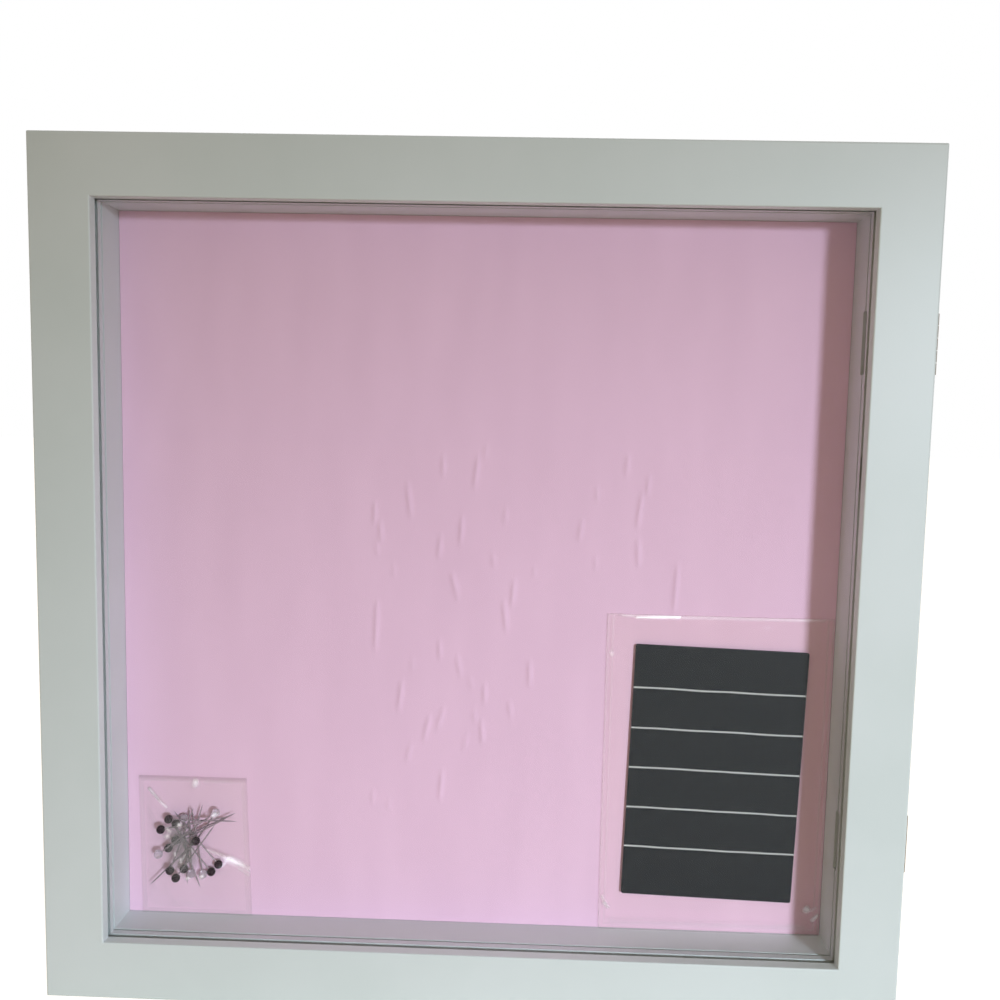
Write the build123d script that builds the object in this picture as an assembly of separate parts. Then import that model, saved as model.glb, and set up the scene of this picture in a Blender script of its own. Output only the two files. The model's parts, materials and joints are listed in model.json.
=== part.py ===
from build123d import *
import math
import os

# Shadow box frame: a deep box with a hinged, glazed front door.
# Millimetres, +Z up, the front faces -Y, the hinges are on the +X side.
# The origin is the middle of the flat bottom face.

# Outside size and mouldings
frame_w = 310.0          # outer width of box and door
frame_h = 310.0          # outer height of box and door
wall_w = 21.5            # moulding width, outer edge to sight edge
seam_gap = 0.4           # gap between the closed door and the box
front_round = 0.8        # rounding of the door's front outer edge
sight_round = 0.5        # rounding of the door's sight edge
edge_round = 0.4         # rounding of the edges along the seam and the back
corner_round = 1.0       # rounding of the outer corners

# Glazing
lip_t = 4.0              # lip in front of the glass
rabbet_w = 5.0           # width of the glass rabbet
glass_t = 2.0
glass_clear = 0.5        # gap between the glass edge and the rabbet wall
bead_t = 2.9             # from the glass to the back of the door
bead_round = 0.8         # rounding of the bead's inner back edge

# Lined board and back panel
well_d = 12.6            # free depth from the box front to the lining
lining_t = 0.6
board_t = 6.0
panel_clear = 0.3        # gap round the lined board and the back panel
back_t = 3.0
back_recess = 2.7        # how far the back panel lies inside the box
back_rabbet_w = 8.0      # width of the ledge that carries the back panel

# Nails through the back panel
nail_r = 0.7
nail_head_r = 1.6
nail_head_t = 0.8
nail_len = 12.0
nail_count = 2           # nails on each side of the panel
nail_end = 66.0          # from the end of the opening to the first nail
hole_clear = 0.05        # radial gap round every nail, screw and hinge pin
fastener_sides = 8       # flat sides of the nails, the screws and their bores

# Corner nails in the mitres
corner_leg = 4.5
corner_t = 0.5
corner_h = 6.0
corner_sunk = 0.3
corner_clear = 0.05

# Butt hinges
hinge_end = 65.2         # from the outer end to the middle of each hinge
hinge_len = 21.2
hinge_slot_clear = 0.3   # gap at each end of the hinge in its slot
knuckle_r = 1.75
knuckle_count = 5
knuckle_gap = 0.3
hinge_pin_r = 0.9
hinge_pin_chamfer = 0.2
barrel_clear = 0.3       # gap between the barrel and the frame's side
leaf_t = 0.9
leaf_margin = 3.5        # from the leaf's end to the glass rabbet
leaf_corner = 1.0

# Countersunk hinge screws
screw_r = 0.9
screw_head_r = 1.8
screw_head_h = 0.8
screw_len = 6.0
screw_tip = 1.2
screw_tip_r = 0.2
screw_end = 4.5          # from the leaf's end to the screw

# Magnet catches
catch_r = 4.0
catch_t = 2.0
catch_end = 63.5         # from the outer end to the magnet's middle
catch_clear = 0.1
catch_sunk = 0.1

# Sawtooth hanger on the top rail
hanger_h = 9.0
hanger_t = 0.8
hanger_rise = 1.5        # how far the toothed middle stands off the rail
hanger_foot = 8.0
hanger_slope = 2.5
tooth_count = 9
tooth_pitch = 2.6
tooth_deep = 1.6
tooth_margin = 0.8       # flat beside the last tooth
hanger_nail_r = 0.6
hanger_nail_head_r = 1.5
hanger_nail_head_t = 0.6
hanger_nail_len = 9.0

# Ball-headed pins, fanned out in two layers
pin_r = 0.3
shaft_sides = 6
pin_len = 25.0
head_r = 1.6
head_sides = 8
head_waist = 0.7         # half length of the ball's widest band
pins_per_layer = 8
pin_pitch = 4.0
pin_stagger = 2.4
pin_fan = 2.0            # turn from one pin to the next, degrees
layer_turn = 6.0         # turn between the two layers, degrees

# Clear bag round the pins, standing in the lower left corner
bag_in = 5.1             # from the left wall to the bag
bag_film = 0.3
bag_seam = 2.0
bag_slope = 20.0         # slope of the bulged sides, degrees
bag_end = 6.65           # from the bag's side to the nearest head
bag_foot = 13.0          # from the bag's bottom to the lowest head
bag_top = 14.0
layer_gap = 0.3          # gap between the layers and the films
film_gap = 0.3           # gap between the contents and the lining

# Label card in its clear sleeve, standing in the lower right corner
card_w = 64.3
card_h = 97.0
card_t = 0.6
card_corner = 0.8
card_turn = 1.5          # lean of the card to the right, degrees
sleeve_in = 0.6          # from the right wall to the sleeve
sleeve_film = 0.3
sleeve_clear = 0.2       # gap between the card and each film
sleeve_seam = 1.5
sleeve_left = 9.6        # beside, below and above the card
sleeve_right = 10.1
sleeve_below = 14.0
sleeve_above = 12.0

# Planes across the depth
door_t = lip_t + glass_t + bead_t
box_d = well_d + lining_t + board_t + back_t + back_recess
total_d = door_t + seam_gap + box_d
y_front = -total_d / 2
y_glass_front = y_front + lip_t
y_glass_back = y_glass_front + glass_t
y_door_back = y_front + door_t
y_box_front = y_door_back + seam_gap
y_lining = y_box_front + well_d
y_board = y_lining + lining_t
y_ledge = y_board + board_t
y_panel_back = y_ledge + back_t
y_box_back = y_box_front + box_d
y_contents = y_lining - film_gap

# Places across the front
open_w = frame_w - 2 * wall_w
open_h = frame_h - 2 * wall_w
door_leg = wall_w - rabbet_w
box_leg = wall_w - back_rabbet_w
leaf_w = door_leg - leaf_margin
hinge_x = frame_w / 2 + barrel_clear + knuckle_r
hinge_y = (y_door_back + y_box_front) / 2
hinge_heights = {"lower": hinge_end, "upper": frame_h - hinge_end}
catch_heights = [catch_end, frame_h - catch_end]

# Sizes of the bag and the sleeve, from what they hold
bag_bulge = 4 * head_r + 2 * layer_gap
bag_w = 2 * bag_end + pin_stagger + head_r + pin_len
bag_h = bag_foot + (pins_per_layer - 1) * pin_pitch + bag_top
sleeve_w = sleeve_left + card_w + sleeve_right
sleeve_h = sleeve_below + card_h + sleeve_above

SIDES = {
    "bottom": (Location((0, 0, 0)), frame_w),
    "top": (Location((0, 0, frame_h), (0, 180, 0)), frame_w),
    "left": (Location((-frame_w / 2, 0, frame_h / 2), (0, 90, 0)), frame_h),
    "right": (Location((frame_w / 2, 0, frame_h / 2), (0, -90, 0)), frame_h),
}


# Helpers

def block(x0, x1, y0, y1, z0, z1):
    middle = Pos((x0 + x1) / 2, (y0 + y1) / 2, (z0 + z1) / 2)
    return middle * Box(abs(x1 - x0), abs(y1 - y0), abs(z1 - z0))


def panel(width, height, y0, y1):
    """A flat block in the middle of the frame."""
    mid = frame_h / 2
    return block(-width / 2, width / 2, y0, y1, mid - height / 2, mid + height / 2)


def along_y(x, y, z, direction):
    """Turn a shape made along +Z so that it starts here and runs along +Y or -Y."""
    return Pos(x, y, z) * Rot(-90 * direction, 0, 0)


def rod(radius, length):
    return Cylinder(radius, length, align=(Align.CENTER, Align.CENTER, Align.MIN))


def turned(points):
    """Revolve a profile of (radius, height) points about Z."""
    return revolve(make_face(Plane.XZ * Polyline(*points, close=True)), Axis.Z)


def few_sided(rings, sides=fastener_sides):
    """A turned shape with flat sides that never widens. Rings are (radius, height), from the bottom up."""
    shape = Part()
    for (r0, z0), (r1, z1) in zip(rings, rings[1:]):
        if z1 > z0:
            taper = math.degrees(math.atan2((r0 - r1) * math.cos(math.pi / sides), z1 - z0))
            shape += Pos(0, 0, z0) * extrude(RegularPolygon(r0, sides), amount=z1 - z0, taper=taper)
    return shape


def bore(radius, length):
    """A hole for a nail or a screw of this size."""
    return few_sided([(radius + hole_clear, 0), (radius + hole_clear, length + hole_clear)])


def mitred_rail(points, rounds, side):
    """A moulding with 45 degree ends. Points are (y, distance in from the outer edge)."""
    place, length = SIDES[side]
    face = make_face(Polyline(*points, close=True))
    for corner, radius in rounds:
        vertex = face.vertices().sort_by_distance(Vector(*corner, 0))[0]
        face = fillet(vertex, radius)
    bar = extrude(Plane.YZ * face, amount=length / 2, both=True)
    outline = [
        (-length / 2, 0),
        (length / 2, 0),
        (length / 2 - wall_w, wall_w),
        (-length / 2 + wall_w, wall_w),
    ]
    rounded = Pos(0, length / 2) * RectangleRounded(length, length, corner_round)
    plan = make_face(Polyline(*outline, close=True)) & rounded
    return place * (bar & extrude(Plane.XZ * plan, amount=total_d, both=True))


def cut_all(shape, cuts):
    for cut in cuts:
        shape -= cut
    return shape


def group(solids):
    return Compound(children=[s.solid() for s in solids])


# Corner nails: an angle driven across each mitre from the back

def corner_nails(y_back, leg, clear=0.0):
    """One angle in each corner, in the middle of a back leg of this width."""
    apex = (leg + corner_leg) / 2
    half = corner_t / 2 + clear
    steps = (apex - corner_leg - clear, apex - half, apex + half)
    y0 = y_back - corner_sunk - corner_h - clear
    y1 = y_back if clear else y_back - corner_sunk
    nails = []
    for sx in (-1, 1):
        for z_outer, sz in ((0, 1), (frame_h, -1)):
            x_tip, x_in, x_far = [sx * (frame_w / 2 - step) for step in steps]
            z_tip, z_in, z_far = [z_outer + sz * step for step in steps]
            flat_leg = block(x_tip, x_far, y0, y1, z_in, z_far)
            upright_leg = block(x_in, x_far, y0, y1, z_tip, z_far)
            nails.append(flat_leg + upright_leg)
    return nails


# Butt hinges, made about their own pin axis. side is +1 on the box and -1 on the door.

def knuckle_span(i, inset):
    pitch = hinge_len / knuckle_count
    z0 = -hinge_len / 2 + i * pitch
    return z0 + inset, z0 + pitch - inset


def hinge_leaf(side):
    """A flat leaf with rolled knuckles that leave room for the other leaf's."""
    own = [i for i in range(knuckle_count) if (i % 2 == 0) == (side > 0)]
    others = [i for i in range(knuckle_count) if i not in own]
    inner = side * (knuckle_r - leaf_t)
    outer = side * knuckle_r
    far = -(knuckle_r + barrel_clear + leaf_w)
    z_end = (hinge_len - knuckle_gap) / 2
    leaf = block(far, 0, inner, outer, -z_end, z_end)
    leaf = fillet(leaf.edges().filter_by(Axis.Y).group_by(Axis.X)[0], leaf_corner)
    for i in others:
        z0, z1 = knuckle_span(i, -knuckle_gap / 2)
        leaf -= block(-(knuckle_r + knuckle_gap), knuckle_r, 0, 2 * outer, z0, z1)
    for i in own:
        z0, z1 = knuckle_span(i, knuckle_gap / 2)
        leaf += Pos(0, 0, z0) * rod(knuckle_r, z1 - z0)
    leaf -= Pos(0, 0, -hinge_len) * rod(hinge_pin_r + hole_clear, 2 * hinge_len)
    x = -(knuckle_r + barrel_clear + leaf_w / 2)
    holes = [along_y(x, inner, z, side) * screw_seat() for z in screw_offsets()]
    return cut_all(leaf, holes)


def hinge_pin():
    half = (hinge_len - knuckle_gap) / 2
    r = hinge_pin_r
    c = hinge_pin_chamfer
    return turned([(0, -half), (r - c, -half), (r, c - half), (r, half - c), (r - c, half), (0, half)])


def hinge_slots(side):
    """Slots across the right side of the door or the box, each as deep as half the closed hinge."""
    half = hinge_len / 2 + hinge_slot_clear
    x1 = frame_w / 2
    x0 = x1 - wall_w
    floor = hinge_y + side * knuckle_r
    return [block(x0, x1, hinge_y, floor, z - half, z + half) for z in hinge_heights.values()]


def screw_offsets():
    up = hinge_len / 2 - screw_end
    return (-up, up)


def screw_seat():
    """The countersunk hole through a leaf, opening at height 0."""
    wide = screw_head_r + hole_clear
    narrow = screw_r + hole_clear
    return turned([(0, 0), (wide, 0), (narrow, screw_head_h), (narrow, leaf_t), (0, leaf_t)])


def hinge_screw():
    rings = [
        (screw_head_r, 0),
        (screw_r, screw_head_h),
        (screw_r, screw_len - screw_tip),
        (screw_tip_r, screw_len),
    ]
    return few_sided(rings)


def screw_places(side):
    x = frame_w / 2 - leaf_w / 2
    y = hinge_y + side * (knuckle_r - leaf_t)
    return [along_y(x, y, z + dz, side) for z in hinge_heights.values() for dz in screw_offsets()]


# Magnet catches

def catch_discs(y0, direction, radius, depth):
    x = -frame_w / 2 + door_leg / 2
    return [along_y(x, y0, z, direction) * rod(radius, depth) for z in catch_heights]


def catch_pockets(y0, direction):
    return catch_discs(y0, direction, catch_r + catch_clear, catch_t + catch_sunk)


# Nails

def nail(radius, head_radius, head_t, length):
    head = few_sided([(head_radius, 0), (head_radius, head_t)])
    return head + few_sided([(radius, head_t), (radius, head_t + length)])


def panel_nail_spots():
    """Nail positions over the ledge, as (side, x, z)."""
    across = (open_w + back_rabbet_w) / 2
    up = (open_h + back_rabbet_w) / 2
    spots = []
    for i in range(nail_count):
        share = i / (nail_count - 1) - 0.5
        x = share * (open_w - 2 * nail_end)
        z = share * (open_h - 2 * nail_end)
        spots.append(("bottom", x, frame_h / 2 - up))
        spots.append(("top", x, frame_h / 2 + up))
        spots.append(("left", -across, frame_h / 2 + z))
        spots.append(("right", across, frame_h / 2 + z))
    return spots


def panel_nail_places(y, sides):
    return [along_y(x, y, z, -1) for side, x, z in panel_nail_spots() if side in sides]


def panel_nail_bores(*sides):
    hole = bore(nail_r, nail_len)
    return [place * hole for place in panel_nail_places(y_panel_back, sides)]


# Hanger

def hanger_half_widths():
    """Half widths of the toothed middle, the middle with its slopes, and the whole plate."""
    middle = tooth_count * tooth_pitch / 2 + tooth_margin
    return middle, middle + hanger_slope, middle + hanger_slope + hanger_foot


def hanger_z():
    return frame_h - box_leg / 2


def hanger_nail_places(y):
    middle, slope, end = hanger_half_widths()
    x = (slope + end) / 2
    return [along_y(s * x, y, hanger_z(), -1) for s in (-1, 1)]


def sawtooth_hanger():
    middle, slope, end = hanger_half_widths()
    under = [(-end, 0), (-slope, 0), (-middle, hanger_rise), (middle, hanger_rise), (slope, 0), (end, 0)]
    over = [(x, y + hanger_t) for x, y in reversed(under)]
    plate = extrude(make_face(Polyline(*under, *over, close=True)), amount=hanger_h / 2, both=True)
    edge = -hanger_h / 2
    tooth = [(-tooth_pitch / 2, 2 * edge), (-tooth_pitch / 2, edge), (0, edge + tooth_deep),
             (tooth_pitch / 2, edge), (tooth_pitch / 2, 2 * edge)]
    notch = extrude(Plane.XZ * make_face(Polyline(*tooth, close=True)), amount=hanger_h, both=True)
    for i in range(tooth_count):
        plate -= Pos((i - (tooth_count - 1) / 2) * tooth_pitch, 0, 0) * notch
    plate = Pos(0, y_box_back, hanger_z()) * plate
    hole = bore(hanger_nail_r, hanger_t)
    return cut_all(plate, [place * hole for place in hanger_nail_places(y_box_back + hanger_t)])


# Door

def door_rail(side):
    points = [
        (y_front, 0),
        (y_front, wall_w),
        (y_glass_front, wall_w),
        (y_glass_front, door_leg),
        (y_door_back, door_leg),
        (y_door_back, 0),
    ]
    rounds = [((y_front, 0), front_round), ((y_front, wall_w), sight_round), ((y_door_back, 0), edge_round)]
    cuts = corner_nails(y_door_back, door_leg, corner_clear)
    if side == "right":
        cuts += hinge_slots(-1) + [place * bore(screw_r, screw_len) for place in screw_places(-1)]
    if side == "left":
        cuts += catch_pockets(y_door_back, -1)
    return cut_all(mitred_rail(points, rounds, side), cuts)


def glass_pane():
    spare = 2 * (rabbet_w - glass_clear)
    return panel(open_w + spare, open_h + spare, y_glass_front, y_glass_back)


def glass_bead(side):
    points = [
        (y_glass_back, door_leg),
        (y_glass_back, wall_w),
        (y_door_back, wall_w),
        (y_door_back, door_leg),
    ]
    bead = mitred_rail(points, [((y_door_back, wall_w), bead_round)], side)
    return cut_all(bead, hinge_slots(-1)) if side == "right" else bead


# Box

def box_rail(side):
    points = [
        (y_box_front, 0),
        (y_box_front, wall_w),
        (y_ledge, wall_w),
        (y_ledge, box_leg),
        (y_box_back, box_leg),
        (y_box_back, 0),
    ]
    rounds = [((y_box_front, 0), edge_round), ((y_box_back, 0), edge_round)]
    cuts = corner_nails(y_box_back, box_leg, corner_clear) + panel_nail_bores(side)
    if side == "right":
        cuts += hinge_slots(1) + [place * bore(screw_r, screw_len) for place in screw_places(1)]
    if side == "left":
        cuts += catch_pockets(y_box_front, 1)
    if side == "top":
        cuts += [place * bore(hanger_nail_r, hanger_nail_len) for place in hanger_nail_places(y_box_back)]
    return cut_all(mitred_rail(points, rounds, side), cuts)


def lined_board():
    """The soft board, and the lining that wraps its face and edges."""
    wide = open_w - 2 * panel_clear
    high = open_h - 2 * panel_clear
    board = panel(wide - 2 * lining_t, high - 2 * lining_t, y_board, y_ledge)
    return board, panel(wide, high, y_lining, y_ledge) - board


def back_panel():
    spare = 2 * (back_rabbet_w - panel_clear)
    return cut_all(panel(open_w + spare, open_h + spare, y_ledge, y_panel_back), panel_nail_bores(*SIDES))


# Contents

def bag_bulge_block(inset, rise):
    """A block with sloping sides, as large as the bag inside its seam, drawn out along -Y."""
    drawn_in = rise * math.tan(math.radians(bag_slope))
    half_w, half_h = [size / 2 - bag_seam - inset for size in (bag_w, bag_h)]
    across = [(-half_w, 0), (half_w, 0), (half_w - drawn_in, -rise), (-half_w + drawn_in, -rise)]
    up = [(0, -half_h), (0, half_h), (-rise, half_h - drawn_in), (-rise, -half_h + drawn_in)]
    plan = extrude(make_face(Polyline(*across, close=True)), amount=half_h, both=True)
    profile = extrude(Plane.YZ * make_face(Polyline(*up, close=True)), amount=half_w, both=True)
    return plan & profile


def pin_bag():
    """A flat back film, and a front film drawn out over the pins."""
    x0 = -open_w / 2 + bag_in
    x1 = x0 + bag_w
    z0 = wall_w
    z1 = z0 + bag_h
    y_weld = y_contents - bag_film
    back = block(x0, x1, y_weld, y_contents, z0, z1)
    flange = block(x0, x1, y_weld - bag_film, y_weld, z0, z1)
    middle = Pos((x0 + x1) / 2, y_weld, (z0 + z1) / 2)
    bulge = middle * bag_bulge_block(0, bag_bulge + bag_film)
    hollow = middle * bag_bulge_block(bag_film, bag_bulge)
    return back, flange + bulge - hollow


def ball_head():
    ball = extrude(RegularPolygon(head_r, head_sides), amount=head_r, both=True)
    ends = ball.faces().filter_by(Axis.Z).edges()
    return chamfer(ends, head_r - head_waist)


def pin_places():
    """A place for each pin, head first: the back layer points right, the front one left."""
    x_left = -open_w / 2 + bag_in + bag_end
    x_right = x_left + bag_w - 2 * bag_end
    places = []
    for i in range(pins_per_layer):
        step = i - (pins_per_layer - 1) / 2
        z = wall_w + bag_foot + i * pin_pitch
        shift = pin_stagger * (i % 2)
        y = y_contents - bag_film - head_r - layer_gap / 2
        turn = pin_fan * step
        places.append(Pos(x_left + shift, y, z) * Rot(0, 90 + turn, 0))
        places.append(Pos(x_right - shift, y - 2 * head_r - layer_gap, z) * Rot(0, layer_turn - 90 - turn, 0))
    return places


def ball_pins():
    """Dark heads, clear heads and shafts."""
    head = ball_head()
    shaft = Pos(0, 0, head_r) * few_sided([(pin_r, 0), (pin_r, pin_len)], shaft_sides)
    places = pin_places()
    dark = [place * head for i, place in enumerate(places) if i % 3 != 1]
    clear = [place * head for i, place in enumerate(places) if i % 3 == 1]
    return dark, clear, [place * shaft for place in places]


def label_sleeve():
    """A flat pocket, closed at the sides and the bottom and open at the top."""
    x1 = open_w / 2 - sleeve_in
    x0 = x1 - sleeve_w
    y1 = y_contents
    y0 = y1 - card_t - 2 * (sleeve_film + sleeve_clear)
    z0 = wall_w
    z1 = z0 + sleeve_h
    seam = sleeve_seam
    pocket = block(x0 + seam, x1 - seam, y0 + sleeve_film, y1 - sleeve_film, z0 + seam, z1)
    return block(x0, x1, y0, y1, z0, z1) - pocket


def label_card():
    x = open_w / 2 - sleeve_in - sleeve_right - card_w / 2
    y = y_contents - sleeve_film - sleeve_clear
    z = wall_w + sleeve_below + card_h / 2
    card = extrude(Plane.XZ * RectangleRounded(card_w, card_h, card_corner), amount=card_t)
    return Pos(x, y, z) * Rot(0, card_turn, 0) * card


# All pieces by name

def make_box():
    nodes = {}
    for side in SIDES:
        kind = "rail" if side in ("top", "bottom") else "stile"
        nodes[f"box_{kind}_{side}"] = box_rail(side)
    nodes["box_corner_nails"] = group(corner_nails(y_box_back, box_leg))
    nodes["pin_board"], nodes["lining"] = lined_board()
    nodes["back_panel"] = back_panel()
    panel_nail = nail(nail_r, nail_head_r, nail_head_t, nail_len)
    places = panel_nail_places(y_panel_back + nail_head_t, SIDES)
    nodes["back_panel_nails"] = group([place * panel_nail for place in places])
    nodes["box_magnets"] = group(catch_discs(y_box_front + catch_sunk, 1, catch_r, catch_t))
    nodes["sawtooth_hanger"] = sawtooth_hanger()
    y = y_box_back + hanger_t + hanger_nail_head_t
    hanger_nail = nail(hanger_nail_r, hanger_nail_head_r, hanger_nail_head_t, hanger_nail_len)
    nodes["hanger_nails"] = group([place * hanger_nail for place in hanger_nail_places(y)])
    return nodes


def make_door():
    nodes = {}
    for side in SIDES:
        kind = "rail" if side in ("top", "bottom") else "stile"
        nodes[f"door_{kind}_{side}"] = door_rail(side)
        nodes[f"glass_bead_{side}"] = glass_bead(side)
    nodes["door_corner_nails"] = group(corner_nails(y_door_back, door_leg))
    nodes["glass_pane"] = glass_pane()
    nodes["door_magnets"] = group(catch_discs(y_door_back - catch_sunk, -1, catch_r, catch_t))
    return nodes


def make_hinges():
    nodes = {}
    for name, z in hinge_heights.items():
        place = Pos(hinge_x, hinge_y, z)
        nodes[f"hinge_{name}_box_leaf"] = place * hinge_leaf(1)
        nodes[f"hinge_{name}_door_leaf"] = place * hinge_leaf(-1)
        nodes[f"hinge_{name}_pin"] = place * hinge_pin()
    nodes["box_hinge_screws"] = group([place * hinge_screw() for place in screw_places(1)])
    nodes["door_hinge_screws"] = group([place * hinge_screw() for place in screw_places(-1)])
    return nodes


def make_contents():
    nodes = {}
    nodes["pin_bag_back_film"], nodes["pin_bag_front_film"] = pin_bag()
    dark, clear, shafts = ball_pins()
    nodes["dark_pin_heads"] = group(dark)
    nodes["clear_pin_heads"] = group(clear)
    nodes["pin_shafts"] = group(shafts)
    nodes["label_sleeve"] = label_sleeve()
    nodes["label_card"] = label_card()
    return nodes


os.makedirs("parts", exist_ok=True)
for node_name, shape in {**make_box(), **make_door(), **make_hinges(), **make_contents()}.items():
    export_step(shape, f"parts/{node_name}.step")
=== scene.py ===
import json
import math
import random

import bmesh
import bpy
import numpy as np
from mathutils import Euler, Matrix, Vector, noise


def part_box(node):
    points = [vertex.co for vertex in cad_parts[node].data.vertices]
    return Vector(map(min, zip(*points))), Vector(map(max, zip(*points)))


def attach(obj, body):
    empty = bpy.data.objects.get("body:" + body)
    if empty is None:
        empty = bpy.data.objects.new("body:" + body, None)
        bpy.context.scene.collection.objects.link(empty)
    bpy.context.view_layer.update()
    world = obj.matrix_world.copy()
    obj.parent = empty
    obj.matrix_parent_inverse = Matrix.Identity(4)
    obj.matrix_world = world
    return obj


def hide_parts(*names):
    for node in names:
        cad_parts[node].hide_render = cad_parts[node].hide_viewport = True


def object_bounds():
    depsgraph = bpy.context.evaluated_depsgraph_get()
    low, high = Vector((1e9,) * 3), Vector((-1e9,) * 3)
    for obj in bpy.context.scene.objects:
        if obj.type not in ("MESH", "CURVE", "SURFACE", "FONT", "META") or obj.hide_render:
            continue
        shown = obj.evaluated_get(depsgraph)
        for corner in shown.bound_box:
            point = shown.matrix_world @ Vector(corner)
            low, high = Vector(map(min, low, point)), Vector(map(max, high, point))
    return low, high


# Shadow box frame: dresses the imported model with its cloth, films, pins and finishes.
# Metres, +Z up, the glazed front faces -Y.

MM = 0.001

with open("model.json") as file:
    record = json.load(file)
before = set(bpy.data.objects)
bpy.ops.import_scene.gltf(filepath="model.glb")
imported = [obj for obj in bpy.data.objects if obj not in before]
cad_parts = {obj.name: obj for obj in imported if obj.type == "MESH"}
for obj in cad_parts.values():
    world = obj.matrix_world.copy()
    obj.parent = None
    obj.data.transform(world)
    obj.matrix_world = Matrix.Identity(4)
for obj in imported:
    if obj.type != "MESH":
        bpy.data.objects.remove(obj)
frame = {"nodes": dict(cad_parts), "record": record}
cad_low, cad_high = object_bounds()
nodes = frame["nodes"]


# Places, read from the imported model

lining_low, lining_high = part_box("lining")
bag_low, bag_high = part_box("pin_bag_back_film")
bag_front_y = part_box("pin_bag_front_film")[0].y
sleeve_low, sleeve_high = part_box("label_sleeve")
card_low, card_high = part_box("label_card")
card_middle = (card_low + card_high) / 2


def srgb(r, g, b):
    """Linear colour of an 8-bit sRGB one."""
    parts = []
    for v in (r, g, b):
        v /= 255
        parts.append(v / 12.92 if v <= 0.04045 else ((v + 0.055) / 1.055) ** 2.4)
    return (*parts, 1.0)


# Colours
PAINT = srgb(213, 221, 220)
PAINT_LOW = srgb(207, 216, 214)
PINK = srgb(243, 203, 228)
PINK_LOW = srgb(238, 198, 223)
CARD_BLACK = srgb(30, 35, 40)
RULE_WHITE = srgb(205, 205, 205)
FIBRE = srgb(142, 108, 76)
FIBRE_LOW = srgb(108, 80, 54)
BOARD_WHITE = srgb(226, 220, 208)
STEEL = srgb(196, 196, 198)
NICKEL = srgb(205, 203, 196)
# Hinge metal darkened and browned so that the hinge slots look dark: a painted shade in the slots
SLOT_SHADE_NICKEL = srgb(132, 124, 112)
# Needle steel made darker and mauve: a painted reflection of dim surroundings and the pink cloth
NEEDLE = srgb(156, 142, 150)
HEAD_BLACK = srgb(46, 26, 38)
HEAD_CLEAR = srgb(236, 228, 236)
# Colour of the painted highlights on the films: glints and bright crease lines
PAINTED_GLINT_WHITE = srgb(252, 246, 250)
# Grey of the crushed film over the pin heap: partly its hazy look, partly a painted shade of the pins
# under it
CRUMPLE_SHADE_GREY = srgb(154, 152, 150)


# Material helpers

class Nodes:
    """A material's node tree, with short calls to add and join nodes."""

    def __init__(self, name):
        self.material = bpy.data.materials.new(name)
        self.material.use_nodes = True
        self.tree = self.material.node_tree
        self.tree.nodes.clear()
        self.out = self.add("ShaderNodeOutputMaterial")

    def add(self, kind, **settings):
        node = self.tree.nodes.new(kind)
        for key, value in settings.items():
            setattr(node, key, value)
        return node

    def link(self, source, target):
        self.tree.links.new(source, target)

    def principled(self, **values):
        node = self.add("ShaderNodeBsdfPrincipled")
        for key, value in values.items():
            node.inputs[key.replace("_", " ")].default_value = value
        return node

    def place(self):
        """Position on the piece, in metres."""
        return self.add("ShaderNodeTexCoord").outputs["Object"]

    def math(self, operation, a, b=None):
        node = self.add("ShaderNodeMath", operation=operation)
        for socket, value in zip(node.inputs, (a, b)):
            if value is None:
                continue
            if isinstance(value, (int, float)):
                socket.default_value = value
            else:
                self.link(value, socket)
        return node.outputs[0]

    def noise(self, size, detail=3.0, roughness=0.5, stretch=(1, 1, 1)):
        """Noise with features about this size in metres, drawn out along stretch."""
        mapping = self.add("ShaderNodeMapping")
        mapping.inputs["Scale"].default_value = [1 / (size * s) for s in stretch]
        self.link(self.place(), mapping.inputs["Vector"])
        node = self.add("ShaderNodeTexNoise")
        node.inputs["Scale"].default_value = 1.0
        node.inputs["Detail"].default_value = detail
        node.inputs["Roughness"].default_value = roughness
        self.link(mapping.outputs[0], node.inputs["Vector"])
        return node.outputs["Fac"]

    def ramp(self, factor, *stops):
        node = self.add("ShaderNodeValToRGB")
        elements = node.color_ramp.elements
        while len(elements) < len(stops):
            elements.new(0.5)
        for element, (position, colour) in zip(elements, stops):
            element.position = position
            element.color = colour
        self.link(factor, node.inputs["Fac"])
        return node.outputs["Color"]

    def range(self, value, low, high, from_low=0.0, from_high=1.0):
        node = self.add("ShaderNodeMapRange")
        for socket, number in zip(node.inputs[1:5], (from_low, from_high, low, high)):
            socket.default_value = number
        self.link(value, node.inputs["Value"])
        return node.outputs["Result"]

    def bump(self, height, depth, strength=1.0):
        """Bump from a height of 0 to 1 that stands for this depth in metres."""
        node = self.add("ShaderNodeBump")
        node.inputs["Strength"].default_value = strength
        node.inputs["Distance"].default_value = depth
        self.link(height, node.inputs["Height"])
        return node.outputs["Normal"]

    def finish(self, shader):
        self.link(shader, self.out.inputs["Surface"])
        return self.material


def painted_wood():
    """Satin lacquer on a fine, slightly uneven ground."""
    n = Nodes("painted_wood")
    bsdf = n.principled(IOR=1.45)
    cloud = n.noise(0.06, detail=4)
    n.link(n.ramp(cloud, (0.35, PAINT_LOW), (0.65, PAINT)), bsdf.inputs["Base Color"])
    fine = n.noise(0.0009, detail=2)
    n.link(n.range(cloud, 0.36, 0.44), bsdf.inputs["Roughness"])
    n.link(n.bump(fine, 0.00002, 0.5), bsdf.inputs["Normal"])
    return n.finish(bsdf.outputs[0])


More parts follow.
